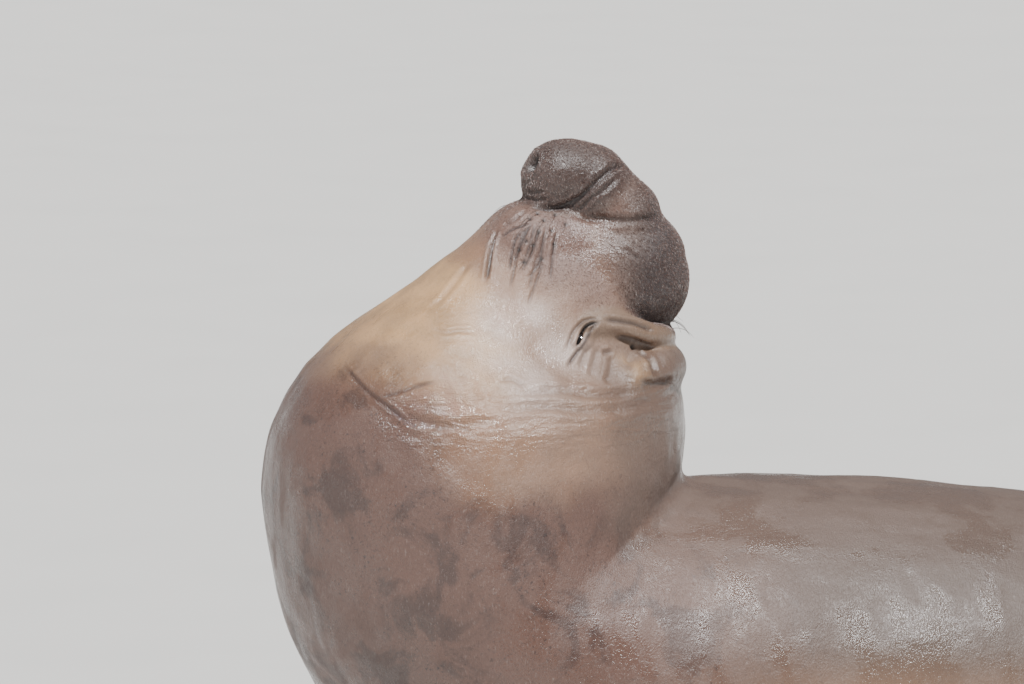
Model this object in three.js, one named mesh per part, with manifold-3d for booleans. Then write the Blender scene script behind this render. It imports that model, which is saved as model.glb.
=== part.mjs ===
// A bull southern elephant seal as a life-size still figure: belly on the floor, chest propped on the
// fore flippers, head thrown back and nose swollen. Millimetres, +Z up, the animal faces -X and its
// left side is -Y.
import * as THREE from 'three';
import { mergeVertices } from 'three/addons/utils/BufferGeometryUtils.js';
import Module from 'manifold-3d';

const wasm = await Module();
wasm.setup();

// Driving dimensions
const GAP = 0.3; // between touching nodes
const SAMPLE_STEP = 24; // spacing of the spheres along a form
const HEAD_CELL = [36, 35, 34]; // edges of a surface cell, by node
const NECK_CELL = [78, 76, 70];
const TRUNK_CELL = [106, 88, 92];
const FORE_CELL = [46, 45, 22];
const HIND_CELL = [42, 40, 19];
const EYE_R = 36;
const EYE_AT = [210, 1265]; // x, z where the lids meet on the skin
const EYE_DEPTH = 31; // from the skin to the middle of the eyeball
const LID_R = 9;
const LID_LENGTH = 104;
const LID_OPENING = 22;
const MOUTH_R = 7; // radius of the groove between the lips
const NOSTRIL_AT = [116, 30, 1666];
const NOSTRIL_SIZE = [11, 26, 20];
const EAR_AT = [332, 1242];
const EAR_SIZE = [6, 14, 6];
const WRIST = [28, 712, 58];
const FORE_DIGITS = { angles: [142, 132, 121, 110, 98], lengths: [330, 306, 276, 240, 198], r: [32, 17], step: 24 };
const ANKLE = [2800, 182, 52];
const HIND_DIGITS = { angles: [-9, 3, 15, 27, 39], lengths: [405, 345, 312, 362, 440], r: [30, 18], step: -13 };
const CLAW_LENGTH = 50;
const CLAW_R = 8.5;

// Each form is a chain of stations [x, y, z, radius, width ratio]. Spheres of those radii run along it,
// widened sideways by the ratio. Only the +Y half of a pair is written: the field mirrors it.
const FORMS = {
  trunk: [
    [-15, 0, 905, 440, 1.04], [-5, 0, 700, 448, 1.14], [90, 0, 540, 452, 1.2], [330, 0, 446, 458, 1.26],
    [750, 0, 440, 453, 1.31], [1200, 0, 420, 433, 1.33], [1650, 0, 375, 387, 1.31],
    [2050, 0, 306, 316, 1.26], [2400, 0, 225, 231, 1.2], [2610, 0, 165, 160, 1.2],
    [2730, 0, 125, 96, 1.2], [2820, 0, 104, 60, 1.25], [2880, 0, 92, 36, 1.3],
  ],
  neck: [
    [-23, 0, 897, 452, 1.02], [61, 0, 1012, 420, 0.98], [96, 0, 1078, 374, 0.93],
    [150, 0, 1180, 286, 0.86], [215, 0, 1255, 188, 0.95],
  ],
  chest: [[-100, 0, 880, 385, 1.06], [-85, 0, 750, 378, 1.12]],
  throat: [
    [94, 0, 1485, 42, 1.9], [68, 0, 1414, 94, 1.2], [54, 0, 1318, 164, 1.1],
    [62, 0, 1219, 222, 1], [84, 0, 1150, 286, 0.9],
  ],
  cheek: [[175, 72, 1225, 128, 1], [235, 84, 1275, 108, 1]],
  muzzle: [[164, 0, 1450, 122, 1.1], [188, 0, 1355, 146, 1.14]],
  pad: [[112, 52, 1455, 84, 1], [150, 62, 1385, 98, 1]],
  noseBase: [[345, 0, 1407, 146, 0.98], [355, 0, 1379, 140, 1]],
  noseMiddle: [[296, 0, 1567, 89, 1.15], [336, 0, 1529, 90.5, 1.22]],
  noseTip: [[171.5, 0, 1590, 69, 1.22], [193, 0, 1621, 89, 1.04], [258, 0, 1606, 93, 1.04]],
  brow: [
    [225, 206, 1292, 24, 1], [262, 195, 1298, 28, 1], [318, 178, 1284, 30, 1], [372, 150, 1264, 31, 1],
    [415, 90, 1247, 31, 1], [428, 0, 1242, 30, 1],
  ],
  napeFold: [
    [315, 222, 1165, 46, 1], [385, 165, 1180, 50, 1], [418, 90, 1178, 56, 1], [425, 0, 1176, 58, 1],
  ],
  upperArm: [[225, 480, 320, 136, 1], [185, 565, 225, 128, 1], [105, 655, 130, 100, 1], [...WRIST, 60, 1]],
  shin: [[2520, 90, 170, 108, 1], [2660, 140, 120, 78, 1], [2750, 172, 78, 58, 1], [...ANKLE, 46, 1]],
};

// Root and tip of a digit that lies on the floor; its angle is measured from +X towards +Y, and the
// roots stand in a row across the flipper.
function digitEnds(root, { angles, step }, i, length, r) {
  const a = THREE.MathUtils.degToRad(angles[Math.floor(i)] * (1 - (i % 1)) + angles[Math.ceil(i)] * (i % 1));
  const across = THREE.MathUtils.degToRad(angles[2] - 90);
  const start = [root[0] + (2 - i) * step * Math.cos(across), root[1] + (2 - i) * step * Math.sin(across), root[2]];
  return [start, [start[0] + length * Math.cos(a), start[1] + length * Math.sin(a), r - 2]];
}

// Five digits and the thinner webs between them.
function fan(root, flipper) {
  return [0, 0.5, 1, 1.5, 2, 2.5, 3, 3.5, 4].map((i) => {
    const web = i % 1 > 0;
    const length = (flipper.lengths[Math.floor(i)] + flipper.lengths[Math.ceil(i)]) * (web ? 0.44 : 0.5);
    const [first, last] = flipper.r.map((r) => (web ? r * 0.62 : r));
    const [start, end] = digitEnds(root, flipper, i, length, last);
    return [[...start, first, 1], [...end, last, 1]];
  });
}

fan(WRIST, FORE_DIGITS).forEach((rows, i) => { FORMS[`fore${i}`] = rows; });
fan(ANKLE, HIND_DIGITS).forEach((rows, i) => { FORMS[`hind${i}`] = rows; });

// Value of a uniform Catmull-Rom spline through rows of numbers.
function splineRow(rows, t) {
  const last = rows.length - 1;
  const i = Math.min(Math.floor(t), last - 1);
  const u = t - i;
  const [a, b, c, d] = [rows[Math.max(i - 1, 0)], rows[i], rows[i + 1], rows[Math.min(i + 2, last)]];
  return b.map((_, k) => 0.5 * (2 * b[k] + (c[k] - a[k]) * u
    + (2 * a[k] - 5 * b[k] + 4 * c[k] - d[k]) * u * u + (3 * (b[k] - c[k]) + d[k] - a[k]) * u * u * u));
}

function spheresAlong(rows) {
  const spheres = [];
  for (let i = 0; i < rows.length - 1; i++) {
    const [p, q] = [rows[i], rows[i + 1]];
    const n = Math.max(1, Math.ceil(Math.hypot(q[0] - p[0], q[1] - p[1], q[2] - p[2]) / SAMPLE_STEP));
    for (let j = 0; j < n; j++) spheres.push(splineRow(rows, i + j / n));
  }
  spheres.push(rows.at(-1));
  return spheres;
}

const SPHERES = Object.fromEntries(Object.entries(FORMS).map(([name, rows]) => [name, spheresAlong(rows)]));

function distanceTo(form, x, y, z) {
  let best = Infinity;
  for (const [cx, cy, cz, r, wide] of SPHERES[form]) {
    const d = Math.hypot(x - cx, (y - cy) / wide, z - cz) - r;
    if (d < best) best = d;
  }
  return best;
}

// Smooth union: k is the width of the fillet.
function blend(a, b, k) {
  const h = Math.max(k - Math.abs(a - b), 0) / k;
  return Math.min(a, b) - h * h * k * 0.25;
}

// The head is narrower than the neck at its back, where the eyes are.
function narrowing(x, z) {
  return 1 + 0.38 * THREE.MathUtils.smoothstep(z, 1080, 1290) * THREE.MathUtils.smoothstep(x, -150, 230);
}

// Signed distance, near enough, to the animal's flesh without its flippers.
function flesh(x, signedY, z) {
  const y = Math.abs(signedY);
  const at = (form) => distanceTo(form, x, y, z);
  const atNarrowed = (form) => distanceTo(form, x, y * narrowing(x, z), z);
  let body = atNarrowed('trunk');
  if (x > 700) return body;
  body = blend(body, atNarrowed('neck'), 60);
  body = blend(body, atNarrowed('chest'), 120);
  if (z < 900) return body;
  body = blend(body, at('throat'), 70);
  body = blend(body, at('cheek'), 80);
  body = blend(body, at('napeFold'), 22);
  body = blend(body, at('brow'), 16);
  let snout = blend(at('muzzle'), at('pad'), 45);
  snout = blend(snout, at('noseBase'), 110);
  const creaseK = THREE.MathUtils.clamp((330 - x) / 150, 0, 1) * 70 + 14;
  body = blend(body, snout, creaseK);
  body = blend(body, at('noseMiddle'), 18);
  return blend(body, at('noseTip'), 18);
}

// Signed distance to a limb: an arm or shin with its fan of digits.
function limb(arm, fanName, k) {
  const names = Object.keys(FORMS).filter((name) => name.startsWith(fanName));
  return (x, signedY, z) => {
    const y = Math.abs(signedY);
    return names.reduce((d, name) => blend(d, distanceTo(name, x, y, z), k), distanceTo(arm, x, y, z));
  };
}

// Closed surface of a field inside a box, with one vertex in each cell that the surface crosses.
function surfaceOf(field, [x0, y0, z0, x1, y1, z1], cell) {
  const [nx, ny, nz] = [x1 - x0, y1 - y0, z1 - z0].map((s, d) => Math.ceil(s / cell[d]) + 1);
  const at = (i, j, k) => (k * ny + j) * nx + i;
  const values = new Float32Array(nx * ny * nz);
  for (let k = 0; k < nz; k++) for (let j = 0; j < ny; j++) for (let i = 0; i < nx; i++) {
    const edge = i === 0 || j === 0 || k === 0 || i === nx - 1 || j === ny - 1 || k === nz - 1;
    const v = field(x0 + i * cell[0], y0 + j * cell[1], z0 + k * cell[2]);
    values[at(i, j, k)] = edge ? Math.max(v, cell[0] * 0.3) : v;
  }
  const vertexOf = new Int32Array(nx * ny * nz).fill(-1);
  const positions = [];
  const corners = [0, 1].flatMap((c) => [0, 1].flatMap((b) => [0, 1].map((a) => [a, b, c])));
  const edges = corners.flatMap((p, m) => corners.map((q, n) => [m, n])
    .filter(([, n]) => m < n && p.filter((v, d) => v !== corners[n][d]).length === 1));
  for (let k = 0; k < nz - 1; k++) for (let j = 0; j < ny - 1; j++) for (let i = 0; i < nx - 1; i++) {
    const v = corners.map(([a, b, c]) => values[at(i + a, j + b, k + c)]);
    const sum = [0, 0, 0];
    let count = 0;
    for (const [m, n] of edges) {
      if ((v[m] < 0) === (v[n] < 0)) continue;
      const t = v[m] / (v[m] - v[n]);
      for (let d = 0; d < 3; d++) sum[d] += corners[m][d] + t * (corners[n][d] - corners[m][d]);
      count++;
    }
    if (!count) continue;
    vertexOf[at(i, j, k)] = positions.length / 3;
    positions.push(x0 + (i + sum[0] / count) * cell[0], y0 + (j + sum[1] / count) * cell[1],
      z0 + (k + sum[2] / count) * cell[2]);
  }
  const index = [];
  const steps = [[1, 0, 0], [0, 1, 0], [0, 0, 1]];
  for (let k = 0; k < nz - 1; k++) for (let j = 0; j < ny - 1; j++) for (let i = 0; i < nx - 1; i++) {
    const inside = values[at(i, j, k)] < 0;
    steps.forEach((step, axis) => {
      if (inside === values[at(i + step[0], j + step[1], k + step[2])] < 0) return;
      const [u, w] = [steps[(axis + 1) % 3], steps[(axis + 2) % 3]];
      const around = [[0, 0], [1, 0], [1, 1], [0, 1]].map(([a, b]) => vertexOf[
        at(i - a * u[0] - b * w[0], j - a * u[1] - b * w[1], k - a * u[2] - b * w[2])]);
      if (!inside) around.reverse();
      index.push(around[0], around[1], around[2], around[0], around[2], around[3]);
    });
  }
  return solidFromArrays(new Float32Array(positions), new Uint32Array(index));
}

const solidFromArrays = (vertProperties, triVerts) => new wasm.Manifold(
  new wasm.Mesh({ numProp: 3, vertProperties, triVerts }));

function solidFrom(geometry) {
  geometry.deleteAttribute('normal');
  geometry.deleteAttribute('uv');
  const merged = mergeVertices(geometry, 1e-3);
  return solidFromArrays(merged.attributes.position.array, new Uint32Array(merged.index.array));
}

function geometryFrom(solid) {
  const mesh = solid.getMesh();
  const geometry = new THREE.BufferGeometry();
  geometry.setAttribute('position', new THREE.BufferAttribute(mesh.vertProperties, 3));
  geometry.setIndex(new THREE.BufferAttribute(mesh.triVerts, 1));
  geometry.computeVertexNormals();
  return geometry;
}

// The same solid on the other side of the middle plane.
function mirrored(solid) {
  const { vertProperties, triVerts } = solid.getMesh();
  return solidFromArrays(vertProperties.map((v, i) => (i % 3 === 1 ? -v : v)), triVerts.slice().reverse());
}

const bySize = (solid) => solid.decompose().sort((a, b) => b.volume() - a.volume());
const above = (solid, { normal, offset }) => solid.trimByPlane(normal, offset + GAP / 2);
const below = (solid, { normal, offset }) => solid.trimByPlane(normal.map((v) => -v), -offset + GAP / 2);

// Point of the skin at a given x and z on one side of the animal; side is -1 for its left.
function skinPoint([x, z], side) {
  let [near, far] = [0, 520];
  if (flesh(x, 0, z) > 0) return new THREE.Vector3(x, 0, z);
  for (let i = 0; i < 30; i++) {
    const mid = (near + far) / 2;
    if (flesh(x, mid, z) < 0) near = mid; else far = mid;
  }
  return new THREE.Vector3(x, side * near, z);
}

function skinNormal(p) {
  const e = 6;
  return new THREE.Vector3(flesh(p.x + e, p.y, p.z) - flesh(p.x - e, p.y, p.z),
    flesh(p.x, p.y + e, p.z) - flesh(p.x, p.y - e, p.z),
    flesh(p.x, p.y, p.z + e) - flesh(p.x, p.y, p.z - e)).normalize();
}

// Rod of a given radius through points, closed by a ball at each end.
function rod(points, r, steps) {
  const curve = new THREE.CatmullRomCurve3(points);
  const ring = 6;
  const frames = curve.computeFrenetFrames(steps, false);
  const positions = [];
  const push = (p) => positions.push(p.x, p.y, p.z);
  for (let i = 0; i <= steps; i++) {
    const centre = curve.getPointAt(i / steps);
    for (let j = 0; j < ring; j++) {
      const a = (j / ring) * 2 * Math.PI;
      push(centre.clone().addScaledVector(frames.normals[i], r * Math.cos(a))
        .addScaledVector(frames.binormals[i], r * Math.sin(a)));
    }
  }
  const ends = [0, steps].map((i) => curve.getPointAt(i / steps)
    .addScaledVector(frames.tangents[i], (i ? 1 : -1) * r * 0.7));
  ends.forEach(push);
  const index = [];
  const [first, last] = [(steps + 1) * ring, (steps + 1) * ring + 1];
  for (let j = 0; j < ring; j++) {
    const next = (j + 1) % ring;
    for (let i = 0; i < steps; i++) {
      const [a, b, c, d] = [i * ring + j, i * ring + next, (i + 1) * ring + next, (i + 1) * ring + j];
      index.push(a, b, c, a, c, d);
    }
    index.push(first, next, j, last, steps * ring + j, steps * ring + next);
  }
  return solidFromArrays(new Float32Array(positions), new Uint32Array(index));
}

// Egg whose long axis points along a direction.
function egg([rx, ry, rz], centre, direction) {
  const geometry = new THREE.SphereGeometry(1, 14, 9).scale(rx, ry, rz);
  const turn = new THREE.Quaternion().setFromUnitVectors(new THREE.Vector3(0, 1, 0), direction);
  return solidFrom(geometry.applyQuaternion(turn).translate(centre.x, centre.y, centre.z));
}

// Thin wall along Y through a line of [x, z] points, used to part the head.
function wall(line) {
  const offset = line.map(([x, z], i) => {
    const [a, b] = [line[Math.max(i - 1, 0)], line[Math.min(i + 1, line.length - 1)]];
    const length = Math.hypot(b[0] - a[0], b[1] - a[1]);
    return [(-(b[1] - a[1]) / length) * GAP * 0.5, ((b[0] - a[0]) / length) * GAP * 0.5, x, z];
  });
  const side = (s) => offset.map(([nx, nz, x, z]) => new THREE.Vector2(x + s * nx, -(z + s * nz)));
  const shape = new THREE.Shape([...side(1), ...side(-1).reverse()]);
  const geometry = new THREE.ExtrudeGeometry(shape, { depth: 1200, bevelEnabled: false });
  return solidFrom(geometry.translate(0, 0, -600).rotateX(-Math.PI / 2));
}

// Planes between the large nodes
const HEAD_PLANE = { normal: [0.2425, 0, 0.9701], offset: 1135 };
const NECK_PLANE = { normal: [0.15, 0, 0.9887], offset: 880 };
const TORSO_PLANE = { normal: [0.9607, 0, -0.2775], offset: 288 };
const HIP_PLANE = { normal: [1, 0, 0], offset: 1500 };
const ANKLE_PLANE = { normal: [1, 0, 0], offset: 2778 };
const LEFT_WRIST_PLANE = { normal: [0, -1, 0], offset: 600 };
const RIGHT_WRIST_PLANE = { normal: [0, 1, 0], offset: 600 };
const FLOOR = [[0, 0, 1], 0];

// Lines in the middle plane along which the head parts, as [x, z].
const MOUTH_LINE = [[100, 1553], [64, 1532], [40, 1519], [24, 1498], [13, 1469], [4, 1445], [-5, 1420], [-12, 1394]];
const TIP_LINE = [[420, 1700], [310, 1645], [267, 1621], [222, 1577], [181, 1558], [107, 1563], [10, 1566]];
const MIDDLE_LINE = [[520, 1536], [428, 1527], [346, 1523], [300, 1530], [240, 1532], [205, 1543], [174, 1562]];
const BASE_LINE = [[246, 1536], [262, 1428], [268, 1353], [252, 1322], [330, 1303], [433, 1262], [520, 1234]];
const MUZZLE_LINE = [[266, 1326], [170, 1306], [76, 1328], [-14, 1392], [-126, 1466]];

const leftRight = [['left', -1], ['right', 1]];

// Head: lids, nostrils, ears and the groove of the mouth, then parted along its creases.
let headBlock = surfaceOf(flesh, [-429, -455, 930, 559, 455, 1762], HEAD_CELL);
const solids = {};
for (const [name, side] of leftRight) {
  const skin = skinPoint(EYE_AT, side);
  const out = skinNormal(skin);
  const along = new THREE.Vector3(0.68, 0, 0.73).addScaledVector(out, -out.dot(new THREE.Vector3(0.68, 0, 0.73)));
  along.normalize();
  const across = new THREE.Vector3().crossVectors(out, along);
  const centre = skin.clone().addScaledVector(out, -EYE_DEPTH);
  const ball = (r) => solidFrom(new THREE.SphereGeometry(r, 16, 10).translate(...centre));
  for (const lid of [-1, 1]) {
    const points = [-1, -0.5, 0, 0.5, 1].map((s) => skin.clone().addScaledVector(along, s * LID_LENGTH * 0.5)
      .addScaledVector(across, lid * (LID_OPENING * 0.5 + LID_R * 0.6) * (1 - s * s) + 5 * s * s)
      .addScaledVector(out, 2 - 7 * s * s));
    headBlock = headBlock.add(rod(points, LID_R, 8));
  }
  headBlock = headBlock.subtract(ball(EYE_R + GAP));
  solids[`eye_${name}`] = ball(EYE_R);
  const nostril = new THREE.Vector3(NOSTRIL_AT[0], side * NOSTRIL_AT[1], NOSTRIL_AT[2]);
  headBlock = headBlock.subtract(egg(NOSTRIL_SIZE, nostril, new THREE.Vector3(-0.85, side * 0.45, 0.28).normalize()));
  const ear = skinPoint(EAR_AT, side);
  headBlock = headBlock.subtract(egg(EAR_SIZE, ear, skinNormal(ear)));
}
const lips = [...MOUTH_LINE.map((p) => skinPoint(p, -1)).reverse(), ...MOUTH_LINE.slice(1).map((p) => skinPoint(p, 1))];
headBlock = headBlock.subtract(rod(lips, MOUTH_R, 22));
for (const line of [TIP_LINE, MIDDLE_LINE, BASE_LINE, MUZZLE_LINE, [[118, 1570], ...MOUTH_LINE, [-15, 1386]]]) {
  headBlock = headBlock.subtract(wall(line));
}
const HEAD_NODES = {
  head: [150, 1150], muzzle: [160, 1400], lower_jaw: [0, 1440], proboscis_base: [380, 1390],
  proboscis_middle: [330, 1560], proboscis_tip: [200, 1620],
};
const headPieces = bySize(above(headBlock, HEAD_PLANE)).slice(0, Object.keys(HEAD_NODES).length);
const middleOf = (solid) => {
  const { min, max } = solid.boundingBox();
  return [(min[0] + max[0]) / 2, (min[2] + max[2]) / 2];
};
for (const [name, [x, z]] of Object.entries(HEAD_NODES)) {
  const distance = (piece) => Math.hypot(middleOf(piece)[0] - x, middleOf(piece)[1] - z);
  solids[name] = [...headPieces].sort((a, b) => distance(a) - distance(b))[0];
}

// Neck, chest and trunk, parted by planes; the stumps of the limbs stay on the chest and the hips.
const foreLimb = limb('upperArm', 'fore', 30);
const hindLimb = limb('shin', 'hind', 44);
const foreRight = surfaceOf(foreLimb, [-360, 370, -30, 410, 1080, 470], FORE_CELL).trimByPlane(...FLOOR);
const hindRight = surfaceOf(hindLimb, [2390, 10, -30, 3300, 560, 310], HIND_CELL).trimByPlane(...FLOOR);
const foreSolids = [mirrored(foreRight), foreRight];
const hindSolids = [mirrored(hindRight), hindRight];
const frontBlock = surfaceOf(flesh, [-620, -684, -116, 1000, 684, 1500], NECK_CELL);
const trunkBlock = surfaceOf(flesh, [-84, -792, -152, 3080, 792, 1140], TRUNK_CELL).trimByPlane(...FLOOR);
solids.neck = below(below(above(frontBlock, NECK_PLANE), HEAD_PLANE), TORSO_PLANE);
solids.chest = below(below(frontBlock.trimByPlane(...FLOOR), NECK_PLANE), TORSO_PLANE);
solids.torso = below(above(trunkBlock, TORSO_PLANE), HIP_PLANE);
solids.hips = below(above(trunkBlock, HIP_PLANE), ANKLE_PLANE);
solids.tail = above(trunkBlock, ANKLE_PLANE);
leftRight.forEach(([name, side], i) => {
  const plane = side < 0 ? LEFT_WRIST_PLANE : RIGHT_WRIST_PLANE;
  solids.chest = solids.chest.add(below(below(foreSolids[i], plane), TORSO_PLANE));
  solids.hips = solids.hips.add(below(hindSolids[i], ANKLE_PLANE));
  let flipper = above(foreSolids[i], plane);
  FORE_DIGITS.angles.forEach((angle, digit) => {
    const reach = FORE_DIGITS.lengths[digit] + CLAW_LENGTH * 0.35;
    const [, [x, y]] = digitEnds(WRIST, FORE_DIGITS, digit, reach, 0);
    const turn = side * THREE.MathUtils.degToRad(angle) - Math.PI / 2;
    const claw = new THREE.ConeGeometry(CLAW_R, CLAW_LENGTH, 8).rotateZ(turn);
    flipper = flipper.add(solidFrom(claw.translate(x, side * y, CLAW_R + 12)));
  });
  solids[`fore_flipper_${name}`] = flipper;
  solids[`hind_flipper_${name}`] = above(hindSolids[i], ANKLE_PLANE);
});

const SKIN = { color: 0x8a7468, roughness: 0.62, metalness: 0 };
const NOSE = { color: 0x5f5150, roughness: 0.7, metalness: 0 };
const EYE = { color: 0x120d0b, roughness: 0.08, metalness: 0 };

function finishOf(name) {
  if (name.startsWith('eye')) return EYE;
  return name.startsWith('proboscis') ? NOSE : SKIN;
}

const seal = new THREE.Group();
for (const [name, solid] of Object.entries(solids)) {
  const mesh = new THREE.Mesh(geometryFrom(bySize(solid)[0]), new THREE.MeshStandardMaterial(finishOf(name)));
  mesh.name = name;
  seal.add(mesh);
}

// The origin is under the middle of the bounding box, on the floor.
seal.updateMatrixWorld(true);
const bounds = new THREE.Box3().setFromObject(seal);
seal.position.x = -(bounds.min.x + bounds.max.x) / 2;

export default seal;
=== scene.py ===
"""A bull southern elephant seal, chest reared and head thrown back: skin, eyes, claws and hairs.

The flesh is one field of swept forms, meshed finely over the head and coarsely over the trunk. Folds,
lids, lips and scars are pressed into that skin along lines, and the same lines drive its colours.
"""

import math

import bpy
import numpy as np
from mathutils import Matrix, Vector


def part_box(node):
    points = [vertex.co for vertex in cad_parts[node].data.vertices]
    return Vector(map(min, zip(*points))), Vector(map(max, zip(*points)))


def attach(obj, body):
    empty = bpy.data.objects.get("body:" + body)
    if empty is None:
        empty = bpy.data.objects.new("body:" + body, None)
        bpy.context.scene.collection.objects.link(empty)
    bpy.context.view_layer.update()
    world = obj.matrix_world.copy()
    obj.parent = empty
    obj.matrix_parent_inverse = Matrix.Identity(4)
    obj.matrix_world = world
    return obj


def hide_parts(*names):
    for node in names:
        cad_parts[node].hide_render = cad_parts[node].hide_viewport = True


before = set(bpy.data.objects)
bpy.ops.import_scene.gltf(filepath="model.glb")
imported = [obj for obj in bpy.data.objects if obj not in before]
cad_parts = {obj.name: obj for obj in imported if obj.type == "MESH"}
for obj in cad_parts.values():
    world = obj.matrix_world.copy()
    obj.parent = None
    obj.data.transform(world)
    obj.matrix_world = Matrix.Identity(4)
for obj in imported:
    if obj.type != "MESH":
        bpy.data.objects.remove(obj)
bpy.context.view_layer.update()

bl_info = {
    "name": "Elephant Seal",
    "version": (1, 0, 0),
    "blender": (4, 5, 0),
    "location": "View3D > Sidebar > Seal",
    "description": "Builds the skin, eyes, claws, hairs and studio of a life-size elephant seal",
    "category": "Add Mesh",
}

MM = 0.001
BODY = "root"
FLESH_NODES = (
    "head", "muzzle", "lower_jaw", "proboscis_base", "proboscis_middle", "proboscis_tip", "neck",
    "chest", "torso", "hips", "tail", "fore_flipper_left", "fore_flipper_right",
    "hind_flipper_left", "hind_flipper_right",
)
HIP_FACE = 1500.15  # x in mm of the flat front of the hips, before the part is centred
ORIGIN = Vector((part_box("hips")[0][0] - HIP_FACE * MM, 0.0, 0.0))

# Roots of the fore and hind flippers in mm, on the +Y side
WRIST = (28, 712, 58)
ANKLE = (2800, 182, 52)

# Each form is a chain of stations (x, y, z, radius, width ratio) in millimetres. Only the +Y half of a
# pair is written: the field mirrors it.
FORMS = {
    "trunk": [
        (-15, 0, 905, 440, 1.04), (-5, 0, 700, 448, 1.14), (90, 0, 540, 452, 1.2), (330, 0, 446, 458, 1.26),
        (750, 0, 440, 453, 1.31), (1200, 0, 420, 433, 1.33), (1650, 0, 375, 387, 1.31),
        (2050, 0, 306, 316, 1.26), (2400, 0, 225, 231, 1.2), (2610, 0, 165, 160, 1.2),
        (2730, 0, 125, 96, 1.2), (2820, 0, 104, 60, 1.25), (2880, 0, 92, 36, 1.3),
    ],
    "neck": [
        (-23, 0, 897, 452, 1.02), (61, 0, 1012, 420, 0.98), (96, 0, 1078, 374, 0.93),
        (150, 0, 1180, 286, 0.86), (215, 0, 1255, 188, 0.95),
    ],
    "chest": [(-100, 0, 880, 385, 1.06), (-85, 0, 750, 378, 1.12)],
    "throat": [
        (94, 0, 1485, 42, 1.9), (68, 0, 1414, 94, 1.2), (54, 0, 1318, 164, 1.1),
        (62, 0, 1219, 222, 1), (84, 0, 1150, 286, 0.9),
    ],
    "cheek": [(175, 72, 1225, 128, 1), (235, 84, 1275, 108, 1)],
    "muzzle": [(164, 0, 1450, 122, 1.1), (188, 0, 1355, 146, 1.14)],
    "pad": [(112, 52, 1455, 84, 1), (150, 62, 1385, 98, 1)],
    "nose_base": [(345, 0, 1407, 146, 0.98), (355, 0, 1379, 140, 1)],
    "nose_middle": [(296, 0, 1567, 89, 1.15), (336, 0, 1529, 90.5, 1.22)],
    "nose_tip": [(171.5, 0, 1590, 69, 1.22), (193, 0, 1621, 89, 1.04), (258, 0, 1606, 93, 1.04)],
    "brow": [
        (225, 206, 1292, 24, 1), (262, 195, 1298, 28, 1), (318, 178, 1284, 30, 1), (372, 150, 1264, 31, 1),
        (415, 90, 1247, 31, 1), (428, 0, 1242, 30, 1),
    ],
    "nape_fold": [
        (315, 222, 1165, 46, 1), (385, 165, 1180, 50, 1), (418, 90, 1178, 56, 1), (425, 0, 1176, 58, 1),
    ],
    "upper_arm": [
        (225, 480, 320, 136, 1), (185, 565, 225, 128, 1), (105, 655, 130, 100, 1), (*WRIST, 60, 1),
    ],
    "shin": [
        (2520, 90, 170, 108, 1), (2660, 140, 120, 78, 1), (2750, 172, 78, 58, 1), (*ANKLE, 46, 1),
    ],
}
# The five digits of a flipper: angles from +X in degrees, lengths, radii at root and tip, and the space
# between two roots across the fan
FORE = {"angles": (142, 132, 121, 110, 98), "lengths": (330, 306, 276, 240, 198), "r": (32, 17), "step": 24}
HIND = {"angles": (-9, 3, 15, 27, 39), "lengths": (405, 345, 312, 362, 440), "r": (30, 18), "step": -13}
# Width in mm of the fillet where a form, the digits of a fan, or a whole limb joins the rest
FILLETS = {
    "neck": 60, "chest": 120, "throat": 70, "cheek": 80, "nape_fold": 22, "brow": 16, "pad": 45,
    "nose_base": 110, "nose_middle": 18, "nose_tip": 18, "fore": 30, "hind": 44, "limb": 45,
}
NECK_SLIMMING = 0.38
FAR = 400.0  # distance given to points that are well out of a form's reach
REACH = 140  # how far from a form its true distance is still worked out
TRUNK_STEPS = 9  # points of a chain from one station to the next
OTHER_STEPS = 4
LINE_STEPS = 5
BLOCK = 4  # grid cells along a side of a block that is tested as a whole
BLOCK_MARGIN = 1.25
BATCH = 400000
CUBE_CORNERS = [(i, j, k) for i in (0, 1) for j in (0, 1) for k in (0, 1)]


def digit_ends(root, fan, i, length, r):
    """Root and tip of a digit on the floor; half numbers are the webs between two digits."""
    low, high, part = math.floor(i), math.ceil(i), i % 1
    angle = math.radians(fan["angles"][low] * (1 - part) + fan["angles"][high] * part)
    across = math.radians(fan["angles"][2] - 90)
    x = root[0] + (2 - i) * fan["step"] * math.cos(across)
    y = root[1] + (2 - i) * fan["step"] * math.sin(across)
    return (x, y, root[2]), (x + length * math.cos(angle), y + length * math.sin(angle), r - 2)


def fan_forms(root, fan):
    """Forms of five digits and the four webs between them, which are shorter and thinner."""
    forms = []
    for i in np.arange(0, 4.1, 0.5):
        web = i % 1 > 0
        length = (fan["lengths"][math.floor(i)] + fan["lengths"][math.ceil(i)]) * (0.44 if web else 0.5)
        first, last = (r * 0.62 if web else r for r in fan["r"])
        start, end = digit_ends(root, fan, i, length, last)
        forms.append([(*start, first, 1), (*end, last, 1)])
    return forms


FANS = {}
for fan_name, fan_root, fan_sizes in (("fore", WRIST, FORE), ("hind", ANKLE, HIND)):
    fan_rows = {f"{fan_name}{n}": rows for n, rows in enumerate(fan_forms(fan_root, fan_sizes))}
    FANS[fan_name] = tuple(fan_rows)
    FORMS.update(fan_rows)


def smoothstep(low, high, v):
    """0 at low and 1 at high, easing in and out; high may be the smaller."""
    t = np.clip((v - low) / (high - low), 0, 1)
    return t * t * (3 - 2 * t)


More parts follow.
